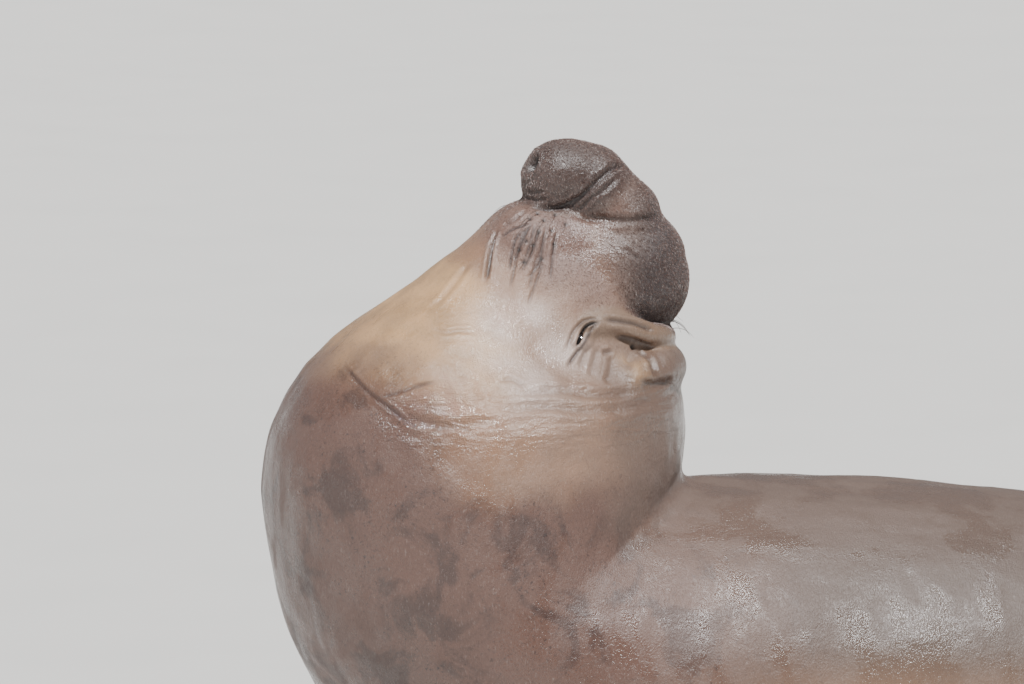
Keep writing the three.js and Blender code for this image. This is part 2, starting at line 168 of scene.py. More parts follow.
def chain(rows, steps):
    """Catmull-Rom points through the stations of a form."""
    rows = np.array(rows, float)
    if len(rows) == 2:
        return rows
    out = []
    for i in range(len(rows) - 1):
        a, b, c, d = rows[max(i - 1, 0)], rows[i], rows[i + 1], rows[min(i + 2, len(rows) - 1)]
        for u in np.arange(steps) / steps:
            out.append(0.5 * (2 * b + (c - a) * u + (2 * a - 5 * b + 4 * c - d) * u ** 2
                              + (3 * (b - c) + d - a) * u ** 3))
    return np.array(out + [rows[-1]])


CHAINS = {
    name: chain(rows, TRUNK_STEPS if name == "trunk" else OTHER_STEPS) for name, rows in FORMS.items()
}


def distance(name, p):
    """Distance in mm from points to the surface of a form, or FAR where it is well out of reach."""
    rows = CHAINS[name]
    reach = (rows[:, 3] * rows[:, 4]).max() + REACH
    near = np.all((p > rows[:, :3].min(0) - reach) & (p < rows[:, :3].max(0) + reach), axis=1)
    q = p[near]
    best = np.full(len(q), FAR)
    for a, b in zip(rows[:-1], rows[1:]):
        ab = b[:3] - a[:3]
        t = np.clip((q - a[:3]) @ ab / max(ab @ ab, 1e-9), 0, 1)
        wide = a[4] + t * (b[4] - a[4])
        dx = q[:, 0] - a[0] - t * ab[0]
        dy = (q[:, 1] - a[1] - t * ab[1]) / wide
        dz = q[:, 2] - a[2] - t * ab[2]
        best = np.minimum(best, np.sqrt(dx * dx + dy * dy + dz * dz) - a[3] - t * (b[3] - a[3]))
    out = np.full(len(p), FAR)
    out[near] = best
    return out


def blend(a, b, k):
    """Smooth union; k is the width of the fillet."""
    h = np.maximum(k - np.abs(a - b), 0) / k
    return np.minimum(a, b) - h * h * k * 0.25


def joined(field, name, points):
    """A field with one more form blended into it."""
    return blend(field, distance(name, points), FILLETS[name])


def flesh(points):
    """Signed distance in mm, near enough, to the animal's flesh, which is cut flat at the floor."""
    p = np.array(points, float)
    p[:, 1] = np.abs(p[:, 1])
    # Stretched space makes the neck narrower from side to side, most of all at its back.
    slim = p.copy()
    slim[:, 1] *= 1 + NECK_SLIMMING * smoothstep(1080, 1290, p[:, 2]) * smoothstep(-150, 230, p[:, 0])
    body = joined(distance("trunk", slim), "neck", slim)
    body = joined(body, "chest", slim)
    for name in ("throat", "cheek", "nape_fold", "brow"):
        body = joined(body, name, p)
    snout = joined(distance("muzzle", p), "pad", p)
    snout = joined(snout, "nose_base", p)
    # The snout's fillet is wide in front and narrows to a crease behind the nose.
    body = blend(body, snout, np.clip((330 - p[:, 0]) / 150, 0, 1) * 70 + 14)
    for name in ("nose_middle", "nose_tip"):
        body = joined(body, name, p)
    for arm, fan in (("upper_arm", "fore"), ("shin", "hind")):
        limb = distance(arm, p)
        for name in FANS[fan]:
            limb = blend(limb, distance(name, p), FILLETS[fan])
        body = blend(body, limb, FILLETS["limb"])
    return np.maximum(body, -p[:, 2])


def slope(p, step=3.0):
    """Unit outward direction of the flesh at points."""
    g = np.stack([flesh(p + d) - flesh(p - d) for d in np.eye(3) * step], axis=1)
    return g / np.maximum(np.linalg.norm(g, axis=1, keepdims=True), 1e-9)


def on_skin(points, side):
    """Points of the skin at (x, z) pairs on one side; side is -1 for the animal's left."""
    pairs = np.array(points, float)
    near, far = np.zeros(len(pairs)), np.full(len(pairs), 520.0)
    for _ in range(26):
        mid = (near + far) / 2
        inside = flesh(np.stack([pairs[:, 0], mid, pairs[:, 1]], axis=1)) < 0
        near, far = np.where(inside, mid, near), np.where(inside, far, mid)
    return np.stack([pairs[:, 0], near * side, pairs[:, 1]], axis=1)


def grid_lines(bands):
    """Coordinates along an axis, from (start, end, spacing) bands in order."""
    lines = []
    for start, end, step in bands:
        count = max(1, round((end - start) / step))
        lines.extend(start + (end - start) * np.arange(count) / count)
    return np.array(lines + [bands[-1][1]])


def block_values(xs, ys, zs):
    """Field on the whole grid, exact only near the surface and elsewhere just its sign."""
    lines = (xs, ys, zs)
    picks = [np.unique(np.append(np.arange(0, len(a), BLOCK), len(a) - 1)) for a in lines]
    axes = [a[pick] for a, pick in zip(lines, picks)]
    mesh = np.stack(np.meshgrid(*axes, indexing="ij"), axis=-1)
    coarse = flesh(mesh.reshape(-1, 3)).reshape(mesh.shape[:3])
    owner = [np.minimum(np.searchsorted(pick, np.arange(len(a)), side="right") - 1, len(pick) - 2)
             for pick, a in zip(picks, lines)]
    wide, deep, tall = np.meshgrid(*(np.diff(a) for a in axes), indexing="ij")
    diagonal = np.sqrt(wide ** 2 + deep ** 2 + tall ** 2)
    least = np.full(diagonal.shape, np.inf)
    for i, j, k in CUBE_CORNERS:
        part = coarse[i:i + diagonal.shape[0], j:j + diagonal.shape[1], k:k + diagonal.shape[2]]
        least = np.minimum(least, np.abs(part))
    active = least < diagonal * BLOCK_MARGIN
    values = coarse[np.ix_(*owner)].astype(np.float32)
    near = active[np.ix_(*owner)]
    for axis in range(3):
        near = near | np.roll(near, 1, axis) | np.roll(near, -1, axis)
    where = np.nonzero(near)
    points = np.stack([xs[where[0]], ys[where[1]], zs[where[2]]], axis=1)
    for start in range(0, len(points), BATCH):
        part = slice(start, start + BATCH)
        values[where[0][part], where[1][part], where[2][part]] = flesh(points[part])
    return values


def surface_nets(xs, ys, zs):
    """Vertices and quads of the zero surface of the flesh on a graded grid."""
    values = block_values(xs, ys, zs)
    for face in (np.s_[0], np.s_[-1]):
        values[face, :, :] = np.maximum(values[face, :, :], 1)
        values[:, face, :] = np.maximum(values[:, face, :], 1)
        values[:, :, face] = np.maximum(values[:, :, face], 1)
    inside = values < 0
    nx, ny, nz = (s - 1 for s in values.shape)
    count = sum(inside[i:i + nx, j:j + ny, k:k + nz].astype(np.int8) for i, j, k in CUBE_CORNERS)
    cells = np.argwhere((count > 0) & (count < len(CUBE_CORNERS)))
    total, hits = np.zeros((len(cells), 3)), np.zeros(len(cells))
    axes = (xs, ys, zs)
    for a in CUBE_CORNERS:
        for d in range(3):
            if a[d]:
                continue
            b = tuple(v + (n == d) for n, v in enumerate(a))
            va = values[tuple((cells + a).T)].astype(float)
            vb = values[tuple((cells + b).T)].astype(float)
            cross = (va < 0) != (vb < 0)
            t = np.where(cross, va / np.where(cross, va - vb, 1), 0)
            start = np.stack([axes[n][cells[:, n] + a[n]] for n in range(3)], axis=1)
            end = np.stack([axes[n][cells[:, n] + b[n]] for n in range(3)], axis=1)
            total += (start + t[:, None] * (end - start)) * cross[:, None]
            hits += cross
    index = np.full(values.shape, -1, np.int32)
    index[tuple(cells.T)] = np.arange(len(cells))
    quads = []
    units = np.eye(3, dtype=int)
    for d in range(3):
        step, u, w = units[d], units[(d + 1) % 3], units[(d + 2) % 3]
        here = inside[tuple(slice(0, s - v) for s, v in zip(inside.shape, step))]
        there = inside[tuple(slice(v, None) for v in step)]
        nodes = np.argwhere(here != there)
        around = np.stack([index[tuple((nodes - a * u - b * w).T)]
                           for a, b in ((0, 0), (1, 0), (1, 1), (0, 1))], axis=1)
        flip = ~here[tuple(nodes.T)]
        around[flip] = around[flip][:, ::-1]
        quads.append(around)
    return total / hits[:, None], np.concatenate(quads)


def relax(points, quads, rounds):
    """Evens the mesh by moving each vertex towards its neighbours' middle and back onto the flesh."""
    edges = np.concatenate([quads[:, [0, 1]], quads[:, [1, 2]], quads[:, [2, 3]], quads[:, [3, 0]]])
    both = np.concatenate([edges, edges[:, ::-1]])
    number = np.bincount(both[:, 0], minlength=len(points)).astype(float)
    for _ in range(rounds):
        sums = [np.bincount(both[:, 0], points[both[:, 1], n], len(points)) for n in range(3)]
        middle = np.stack(sums, axis=1)
        points = points + 0.5 * (middle / number[:, None] - points)
        points = points - slope(points) * flesh(points)[:, None]
    return points


# Lines pressed into the skin on the animal's left and mirrored to its right: (x, z) points, depth, width
# and height of the raised rims in mm, and how dark the painted shade in the line is. A negative depth is a
# raised roll.
LINES = {
    "lips": (((30, 1512), (23, 1499), (11, 1473), (3, 1449), (-4, 1424), (-13, 1399)), 10, 5, 5, 1),
    "upper lip": (((100, 1556), (80, 1545), (61, 1531), (38, 1519)), 5, 6, 2, 0.3),
    "tip crease": (((343, 1643), (307, 1650), (284, 1637), (259, 1619), (237, 1596), (215, 1578),
                    (186, 1562), (152, 1557), (113, 1558), (98, 1558)), 8, 7, 2, 0.9),
    "tip fold": (((312, 1629), (289, 1609), (269, 1596), (249, 1583), (232, 1565), (219, 1545)),
                 4, 6, 2, 0.4),
    "middle crease": (((418, 1528), (382, 1531), (337, 1528), (302, 1530), (273, 1533), (234, 1533),
                       (198, 1543)), 6, 9, 1, 0.5),
    "base crease": (((313, 1471), (334, 1454), (358, 1438)), 3, 6, 1, 0.3),
    "lid outer": (((249, 1311), (229, 1315), (212, 1311), (197, 1301), (186, 1291), (178, 1280),
                   (172, 1267), (161, 1248)), 5, 4, 1, 0.6),
    "lid slit": (((246, 1308), (229, 1305), (213, 1297), (203, 1283), (195, 1268), (186, 1251)),
                 7, 3.1, 1, 1),
    "lid lower": (((249, 1310), (233, 1300), (217, 1278), (199, 1252), (172, 1225), (159, 1210)),
                  6, 4.5, 2, 0.9),
    "lid roll": (((238, 1311), (215, 1305), (197, 1291), (185, 1270), (174, 1250)), -6, 7, 0, 0),
    "brow top": (((251, 1312), (282, 1310), (311, 1305), (335, 1300), (364, 1287), (388, 1278)),
                 9, 8, 1, 0.7),
    "brow under": (((284, 1272), (311, 1263), (337, 1255), (363, 1244), (387, 1240)), 8, 8, 1, 0.7),
    "ear fold": (((333, 1239), (354, 1225), (368, 1211), (373, 1191), (380, 1160)), 5, 7, 2, 0.4),
    "cheek fold a": (((277, 1242), (267, 1236), (249, 1237)), 4, 6, 2, 0.4),
    "cheek fold b": (((217, 1262), (204, 1233), (191, 1208)), 4, 7, 2, 0.3),
    "furrow a": (((101, 1531), (78, 1522), (57, 1513), (32, 1493)), 3.5, 3.6, 1.5, 0.9),
    "furrow b": (((84, 1518), (66, 1498), (59, 1485), (50, 1451), (43, 1421)), 3.5, 3.6, 1.5, 0.9),
    "furrow c": (((104, 1531), (91, 1514), (73, 1481), (51, 1440)), 3.5, 3.6, 1.5, 1),
    "furrow d": (((122, 1527), (113, 1505), (98, 1465), (69, 1421)), 3.5, 3.6, 1.5, 0.9),
    "furrow e": (((135, 1518), (125, 1487), (113, 1440), (79, 1404)), 3.5, 3.6, 1.5, 0.8),
    "furrow f": (((162, 1514), (152, 1482), (142, 1433), (135, 1401)), 3, 3.6, 1, 0.7),
    "furrow g": (((123, 1451), (114, 1424), (98, 1390), (78, 1349)), 3, 3.6, 1, 0.6),
    "furrow h": (((94, 1524), (80, 1506), (70, 1478), (60, 1440)), 3, 3.4, 1, 0.8),
    "furrow i": (((112, 1528), (104, 1512), (90, 1470), (72, 1432)), 3, 3.4, 1, 0.8),
    "furrow j": (((72, 1500), (66, 1470), (54, 1425), (40, 1385)), 3, 3.4, 1, 0.6),
    "furrow k": (((128, 1500), (118, 1468), (100, 1430), (84, 1380)), 3, 3.4, 1, 0.6),
    "nose wrinkle a": (((104, 1598), (118, 1594), (139, 1598)), 3, 5, 1, 0.3),
    "nose wrinkle b": (((105, 1578), (123, 1575), (148, 1582)), 3, 5, 1, 0.3),
    "nape line a": (((244, 1252), (228, 1218), (212, 1186)), 3, 8, 1, 0.2),
    "nape line b": (((277, 1239), (268, 1203), (250, 1169)), 3, 8, 1, 0.2),
    "nape line c": (((315, 1224), (312, 1193), (304, 1154)), 3, 8, 1, 0.2),
    "nape under": (((334, 1163), (375, 1160), (423, 1163)), 6, 10, 2, 0.4),
    "body fold a": (((35, 1163), (133, 1163), (230, 1148), (334, 1147)), 5, 12, 3, 0.2),
    "body fold b": (((-17, 1134), (103, 1133), (225, 1118), (387, 1118)), 5, 12, 3, 0.2),
    "body fold c": (((-243, 1114), (-157, 1105), (-20, 1109)), 4, 11, 2, 0.2),
    "chin fold": (((-40, 1438), (-94, 1379), (-145, 1337)), 4, 9, 2, 0.15),
    "neck line": (((-148, 1302), (-122, 1294), (-92, 1299), (-54, 1296)), 3, 7, 2, 0.2),
    "neck short": (((-9, 1191), (20, 1194), (51, 1176)), 3, 7, 1, 0.2),
    "neck low": (((-180, 1091), (-131, 1101), (-80, 1088)), 4, 8, 2, 0.3),
}
# Scars, on the left only: (x, z) points, depth and width in mm
SCARS = (
    (((-347, 1208), (-333, 1193), (-305, 1163), (-273, 1140), (-243, 1118), (-213, 1094)), 3, 4.5),
    (((-283, 1152), (-243, 1165), (-198, 1182), (-153, 1194)), 2.5, 4),
)
SCAR_RIM = 2
# Whisker pits, ear, eye and nostril: places on the skin are (x, z) in mm
PITS = ((162, 1544), (132, 1534), (120, 1548), (148, 1512), (184, 1524), (117, 1510), (152, 1481),
        (120, 1450), (100, 1537), (86, 1490), (69, 1469), (101, 1481), (78, 1443))
PIT_DEPTH = 3
PIT_RADIUS = 5.2
EAR_AT = (332, 1242)
EAR_DEPTH = 9
EAR_RADIUS = 8
EAR_DARK_RADIUS = 6.5
EYE_AT = (210, 1265)
EYE_DEPTH = 31.0  # from the skin down to the middle of the eyeball
LID_THICKNESS = 3
SLIT_DEPTH = 16
NOSTRIL_AT = (116.0, 32.0, 1659.0)
NOSTRIL_TOWARDS = (-0.8, 0.34, 0.5)
NOSTRIL_RADII = (21, 16, 45)  # upright, across and along its own direction
NOSTRIL_DEPTH = 30
NOSTRIL_RIM = 3
# Soft patches of colour, (x, z, radius): pale wet skin with a painted highlight on cheek and neck, and tan
# skin below the ear
SHEEN_SPOTS = ((-5, 1300, 75), (12, 1226, 60), (90, 1322, 48), (150, 1250, 62), (60, 1180, 70))
TAN_SPOTS = ((328, 1200, 34), (361, 1183, 26), (305, 1213, 24), (352, 1206, 20))
BROW_HAIR_ROOTS = ((418, 74, 1256), (427, 52, 1262), (430, 36, 1258), (424, 62, 1247))
BRISTLES = 48000
SKIN_MASKS = ("crease", "scar", "slit", "pit", "hole", "splash", "pale_skin_and_painted_sheen", "tan", "nose", "muzzle", "throat",
              "low", "nape", "brow", "limbs", "back")

CLAW_RINGS = 12
CLAW_RADIUS = 8.2
CLAW_HEIGHT = 19
CLAW_SET_BACK = 0.42  # share of a claw's length that lies back over its digit
EYE_RINGS = 20
EYE_SIDES = 32
CORNEA_BULGE = 0.02
HAIR_STEPS = 8

SKY_COLOUR = (0.86, 0.92, 1.0, 1.0)
SKY_STRENGTH = 0.22
# Lights: name, direction towards the light, strength, and its width in degrees
SUNS = (
    ("key", (0.05, -0.42, 0.91), 6.0, 5),
    ("fill", (-0.85, -0.5, 0.25), 0.5, 40),
)
FLOOR = ((-60000, -40000, 0), (60000, -40000, 0), (60000, 90000, 0), (-60000, 90000, 0))
CAMERA_TARGET = (75.2, 0.0, 1233.0)  # mm
CAMERA_ANGLES = (-9.0, 8.0)  # degrees towards the animal's front, and down
CAMERA_DISTANCE = 18.0
SENSOR_WIDTH = 36.0
FRAME_WIDTH = 2.4064  # metres that the picture spans at the target


def to_path(points, path):
    """Distance from points to a polyline and how far along it, 0 to 1, the nearest place is."""
    lengths = np.linalg.norm(np.diff(path, axis=0), axis=1)
    starts = np.concatenate([[0], np.cumsum(lengths)])
    best, along = np.full(len(points), 1e9), np.zeros(len(points))
    for a, b, start, length in zip(path[:-1], path[1:], starts, lengths):
        t = np.clip((points - a) @ (b - a) / max(length ** 2, 1e-9), 0, 1)
        d = np.linalg.norm(points - a - t[:, None] * (b - a), axis=1)
        closer = d < best
        best[closer] = d[closer]
        along[closer] = (start + t[closer] * length) / starts[-1]
    return best, along


def line_strength(points, rows, side, width):
    """Vertices near a line of the skin, their distance from it in widths, and a fade at its ends."""
    path = chain(on_skin(rows, side), LINE_STEPS)
    near = np.all((points > path.min(0) - width * 4) & (points < path.max(0) + width * 4), axis=1)
    index = np.nonzero(near)[0]
    d, along = to_path(points[index], path)
    return index, d / width, smoothstep(-0.03, 0.2, along) * smoothstep(-0.03, 0.2, 1 - along)


def swell(points, amount, size, seed):
    """Slow seeded unevenness of the flesh, within amount mm."""
    rng = np.random.default_rng(seed)
    total = np.zeros(len(points))
    for _ in range(9):
        direction = rng.normal(size=3)
        direction *= rng.uniform(0.7, 1.6) * 2 * math.pi / (size * np.linalg.norm(direction))
        total += np.sin(points @ direction + rng.uniform(0, 6.3))
    return amount * total / 5


def eye_place(side):
    """Middle of an eyeball in mm, and the unit direction that it faces."""
    skin = on_skin([EYE_AT], side)
    out = slope(skin)[0]
    return skin[0] - out * EYE_DEPTH, out


def press_lines(points, groove, raised, masks):
    """Adds every line on both sides, and the scars on the left, to grooves, raised parts and masks."""
    for side in (-1, 1):
        for name, (rows, depth, width, rim, dark) in LINES.items():
            index, d, fade = line_strength(points, rows, side, width)
            middle = np.exp(-d ** 2) * fade
            edge = np.exp(-((d - 1.9) / 0.9) ** 2) * fade
            if depth < 0:
                raised[index] = np.maximum(raised[index], -depth * middle)
            else:
                groove[index] = np.maximum(groove[index], depth * middle)
                raised[index] = np.maximum(raised[index], rim * edge)
            # Painted shade: the crease mask darkens the skin along each line, where shade falls in the
            # groove.
            masks["crease"][index] = np.maximum(masks["crease"][index], dark * middle)
            if name == "lid slit":
                masks["slit"][index] = np.maximum(masks["slit"][index], middle)
    for rows, depth, width in SCARS:
        index, d, fade = line_strength(points, rows, -1, width)
        groove[index] = np.maximum(groove[index], depth * np.exp(-d ** 2) * fade)
        raised[index] = np.maximum(raised[index], SCAR_RIM * np.exp(-((d - 2) / 0.8) ** 2) * fade)
        masks["scar"][index] = np.maximum(masks["scar"][index], np.exp(-(d / 1.3) ** 2) * fade)


def press_openings(points, side, groove, raised, masks):
    """Adds the whisker pits, the ear and the nostril of one side."""
    for place in on_skin(PITS, side):
        dot = np.exp(-(np.linalg.norm(points - place, axis=1) / PIT_RADIUS) ** 2)
        np.maximum(groove, PIT_DEPTH * dot, out=groove)
        np.maximum(masks["pit"], dot, out=masks["pit"])
    d = np.linalg.norm(points - on_skin([EAR_AT], side)[0], axis=1)
    np.maximum(groove, EAR_DEPTH * np.exp(-(d / EAR_RADIUS) ** 2), out=groove)
    np.maximum(masks["hole"], np.exp(-(d / EAR_DARK_RADIUS) ** 2), out=masks["hole"])
    towards = np.array(NOSTRIL_TOWARDS) * (1, side, 1)
    upright = np.cross(towards, np.cross((0, 0, 1.0), towards))
    upright /= np.linalg.norm(upright)
    q = points - np.array(NOSTRIL_AT) * (1, side, 1)
    axes = (upright, np.cross(upright, towards), towards)
    oval = np.sqrt(sum((q @ axis / radius) ** 2 for axis, radius in zip(axes, NOSTRIL_RADII)))
    np.maximum(groove, NOSTRIL_DEPTH * np.exp(-oval ** 4), out=groove)
    np.maximum(raised, NOSTRIL_RIM * np.exp(-((oval - 1.6) / 0.35) ** 2), out=raised)
    np.maximum(masks["hole"], np.exp(-(oval / 1.05) ** 6), out=masks["hole"])


def cover_eye(points, side, radius, push, slit):
    """Lifts the skin over the eyeball of one side, and lets it in at the slit between the lids."""
    centre, out = eye_place(side)
    q = points - centre
    across = np.linalg.norm(q - np.outer(q @ out, out), axis=1)
    cover = np.sqrt(np.maximum((radius + LID_THICKNESS) ** 2 - across ** 2, 0)) - EYE_DEPTH
    over = (across < radius) & (q @ out > 0)
    return np.where(over, np.maximum(push, cover - SLIT_DEPTH * slit), push)


def shaped(points, settings):
    """Presses lines, lids, nostrils and ears into the skin; returns its points, normals and masks."""
    normals = slope(points)
    groove, raised = np.zeros(len(points)), np.zeros(len(points))
    masks = {name: np.zeros(len(points)) for name in ("crease", "scar", "slit", "pit", "hole")}
    press_lines(points, groove, raised, masks)
    for side in (-1, 1):
        press_openings(points, side, groove, raised, masks)
    push = (raised * (1 - np.clip(groove / 6, 0, 1)) - groove) * settings.fold_depth
    for side in (-1, 1):
        push = cover_eye(points, side, settings.eye_radius / MM, push, masks["slit"])
    above = smoothstep(40, 160, points[:, 2])
    nose = smoothstep(1330, 1420, points[:, 2])
    push += swell(points, amount=3.5, size=260, seed=3) * above * (1 - 0.6 * nose)
    push += swell(points, amount=1.2, size=90, seed=4) * above * (1 - 0.4 * nose)
    moved = points + normals * push[:, None]
    moved[:, 2] = np.maximum(moved[:, 2], 0)
    return moved, normals, masks


def near_forms(points, names, reach):
    """1 on the named forms, fading to 0 at reach mm from them."""
    mirrored = np.abs(points) * (0, 1, 0) + points * (1, 0, 1)
    least = np.min([distance(name, mirrored) for name in names], axis=0)
    return 1 - smoothstep(4, reach, least)


def region_masks(points, normals):
    """Large areas of colour on the skin, each 0 to 1."""
    x, z = points[:, 0], points[:, 2]
    wander = swell(points, amount=26, size=170, seed=8)
    nose = near_forms(points, ("nose_base", "nose_middle", "nose_tip"), 46)
    muzzle = near_forms(points, ("muzzle", "pad", "nose_base", "nose_middle", "nose_tip"), 60)
    tip = near_forms(points, ("nose_tip",), 40)
    # Darker towards the back and underside of the nose: partly its own dark hide, partly painted shade on
    # the side turned from the light.
    nose *= np.maximum(0.88 * tip, smoothstep(215, 400, x + 0.25 * (1450 - z) + 0.5 * wander))
    muzzle *= 1 - nose
    throat = smoothstep(60, -60, x + 0.35 * (z - 1300) + wander) * smoothstep(1120, 1300, z + wander)
    low = smoothstep(-40, -260, x + wander + 0.4 * (z - 1100)) * smoothstep(1330, 1120, z + wander)
    low = np.maximum(low, smoothstep(1010, 880, z + wander) * smoothstep(900, 200, x))
    nape = smoothstep(180, 330, x + wander) * smoothstep(1290, 1180, z) * smoothstep(700, 900, z)
    brow = near_forms(points, ("brow",), 22) * (1 - nose)
    limbs = near_forms(points, ("upper_arm", *FANS["fore"]), 90)
    hind = near_forms(points, ("shin", *FANS["hind"]), 60)
    back = smoothstep(200, 700, x) * smoothstep(-0.2, 0.5, normals[:, 2])
    splash = smoothstep(1010, 1080, z) * smoothstep(1240, 1160, z) * smoothstep(-330, -200, x)
    # The pale patches on cheek and neck are partly pale wet skin and partly a painted highlight of the
    # light shining off it.
    pale_skin_and_painted_sheen, tan = np.zeros(len(points)), np.zeros(len(points))
    for side in (-1, 1):
        for area, spots in ((pale_skin_and_painted_sheen, SHEEN_SPOTS), (tan, TAN_SPOTS)):
            for place, (_, _, size) in zip(on_skin([spot[:2] for spot in spots], side), spots):
                d = np.linalg.norm(points - place, axis=1)
                np.maximum(area, np.exp(-(d / size) ** 2), out=area)
    limbs = np.maximum(limbs * smoothstep(420, 160, z), hind)
    return {"splash": splash, "pale_skin_and_painted_sheen": pale_skin_and_painted_sheen, "tan": tan, "nose": nose, "muzzle": muzzle, "throat": throat,
            "low": low, "nape": nape, "brow": brow, "limbs": limbs, "back": back}


# Bands of the grid along each axis, (start, end, spacing) in mm: finest at the eyes and the muzzle
X_BANDS = ((-540, -430, 20), (-430, 20, 5.5), (20, 290, 3), (290, 520, 5.5), (520, 2640, 26),
           (2640, 3260, 12))
Y_BANDS = ((-1020, -620, 10), (-620, -430, 18), (-430, 430, 5), (430, 620, 18), (620, 1020, 10))
Z_BANDS = ((-30, 110, 8), (110, 880, 22), (880, 1190, 6), (1190, 1330, 3), (1330, 1390, 5),
           (1390, 1560, 3.2), (1560, 1760, 5))


def spread(bands, coarse):
    """Coordinates along an axis with every spacing multiplied by coarse."""
    return grid_lines([(a, b, step * coarse) for a, b, step in bands])


def mesh_piece(name, points, faces, smooth=True):
    """A new object from points in mm of the seal's own frame."""
    mesh = bpy.data.meshes.new(name)
    corners = faces.tolist() if isinstance(faces, np.ndarray) else faces
    mesh.from_pydata((np.asarray(points) * MM + np.array(ORIGIN)).tolist(), [], corners)
    mesh.polygons.foreach_set("use_smooth", [smooth] * len(mesh.polygons))
    mesh.update()
    piece = bpy.data.objects.new(name, mesh)
    bpy.context.scene.collection.objects.link(piece)
    return piece


def set_mask(piece, name, values):
    """Stores a value for each vertex, which materials read by its name."""
    layer = piece.data.attributes.new(name, "FLOAT", "POINT")
    layer.data.foreach_set("value", np.asarray(values, np.float32))


def put(tree, kind, inputs=None, **settings):
    """A node with its settings, and inputs that are sockets or plain values."""
    node = tree.nodes.new(kind)
    for key, value in settings.items():
        setattr(node, key, value)
    for key, value in (inputs or {}).items():
        if isinstance(value, bpy.types.NodeSocket):
            tree.links.new(value, node.inputs[key])
        else:
            node.inputs[key].default_value = value
    return node


def math_node(tree, operation, *values, clamp=False):
    node = put(tree, "ShaderNodeMath", dict(enumerate(values)), operation=operation, use_clamp=clamp)
    return node.outputs[0]


def mask_node(tree, name):
    return put(tree, "ShaderNodeAttribute", attribute_name=name).outputs["Fac"]


def mix_colour(tree, factor, first, second):
    """The first colour turning into the second; a mix node takes colours at 6 and 7 and gives one at 2."""
    return put(tree, "ShaderNodeMix", {0: factor, 6: first, 7: second}, data_type="RGBA").outputs[2]


def remap(tree, value, low, high, to_low=0.0, to_high=1.0):
    """A value eased from one range into another."""
    limits = {"Value": value, "From Min": low, "From Max": high, "To Min": to_low, "To Max": to_high}
    return put(tree, "ShaderNodeMapRange", limits, interpolation_type="SMOOTHSTEP").outputs["Result"]


def new_group(name, inputs, outputs):
    """A shader node group with named sockets; returns it with its two end nodes."""
    tree = bpy.data.node_groups.new(name, "ShaderNodeTree")
    kinds = {"value": "NodeSocketFloat", "colour": "NodeSocketColor", "vector": "NodeSocketVector"}
    for label, kind, *default in inputs:
        socket = tree.interface.new_socket(name=label, in_out="INPUT", socket_type=kinds[kind])
        if default:
            socket.default_value = default[0]
    for label, kind in outputs:
        tree.interface.new_socket(name=label, in_out="OUTPUT", socket_type=kinds[kind])
    return tree, tree.nodes.new("NodeGroupInput").outputs, tree.nodes.new("NodeGroupOutput").inputs


def hair_grain_group():
    """Short hairs lying down the body: a height, and light and dark tips."""
    tree, given, result = new_group(
        "Short Hair Grain", [("Vector", "vector"), ("Scale", "value", 240.0), ("Lie", "value", 0.35)],
        [("Height", "value"), ("Tips", "value"), ("Dark", "value")])
    lie = put(tree, "ShaderNodeCombineXYZ", {"X": 1.0, "Y": 1.0, "Z": given["Lie"]}).outputs[0]
    along = put(tree, "ShaderNodeVectorMath", {0: given["Vector"], 1: lie}, operation="MULTIPLY").outputs[0]
    strokes = put(tree, "ShaderNodeTexNoise", {"Vector": along, "Scale": given["Scale"], "Detail": 4.0,
                                               "Roughness": 0.7}).outputs[0]
    double = math_node(tree, "MULTIPLY", given["Scale"], 1.7)
    grains = put(tree, "ShaderNodeTexVoronoi", {"Vector": along, "Scale": double}).outputs["Distance"]
    height = math_node(tree, "MULTIPLY_ADD", grains, -0.5, strokes)
    tree.links.new(height, result["Height"])
    tree.links.new(remap(tree, strokes, 0.56, 0.74), result["Tips"])
    tree.links.new(remap(tree, strokes, 0.46, 0.3), result["Dark"])
    return tree


def mottling_group():
    """Patches with ragged edges in two sizes."""
    tree, given, result = new_group(
        "Mottling", [("Vector", "vector"), ("Scale", "value", 9.0), ("Amount", "value", 0.5)],
        [("Patches", "value"), ("Specks", "value"), ("Clouds", "value")])
    broad = put(tree, "ShaderNodeTexNoise", {
        "Vector": given["Vector"], "Scale": given["Scale"], "Detail": 7.0, "Roughness": 0.62,
        "Distortion": 0.6}).outputs[0]
    edge = math_node(tree, "SUBTRACT", 0.78, math_node(tree, "MULTIPLY", given["Amount"], 0.45))
    patches = remap(tree, broad, edge, math_node(tree, "ADD", edge, 0.12))
    fine = math_node(tree, "MULTIPLY", given["Scale"], 5.5)
    specks = put(tree, "ShaderNodeTexNoise", {"Vector": given["Vector"], "Scale": fine, "Detail": 5.0,
                                              "Roughness": 0.7, "Distortion": 0.9}).outputs[0]
    wide = math_node(tree, "MULTIPLY", given["Scale"], 0.45)
    clouds = put(tree, "ShaderNodeTexNoise", {"Vector": given["Vector"], "Scale": wide,
                                              "Detail": 4.0}).outputs[0]
    tree.links.new(patches, result["Patches"])
    tree.links.new(remap(tree, specks, 0.55, 0.68), result["Specks"])
    tree.links.new(remap(tree, clouds, 0.35, 0.68), result["Clouds"])
    return tree


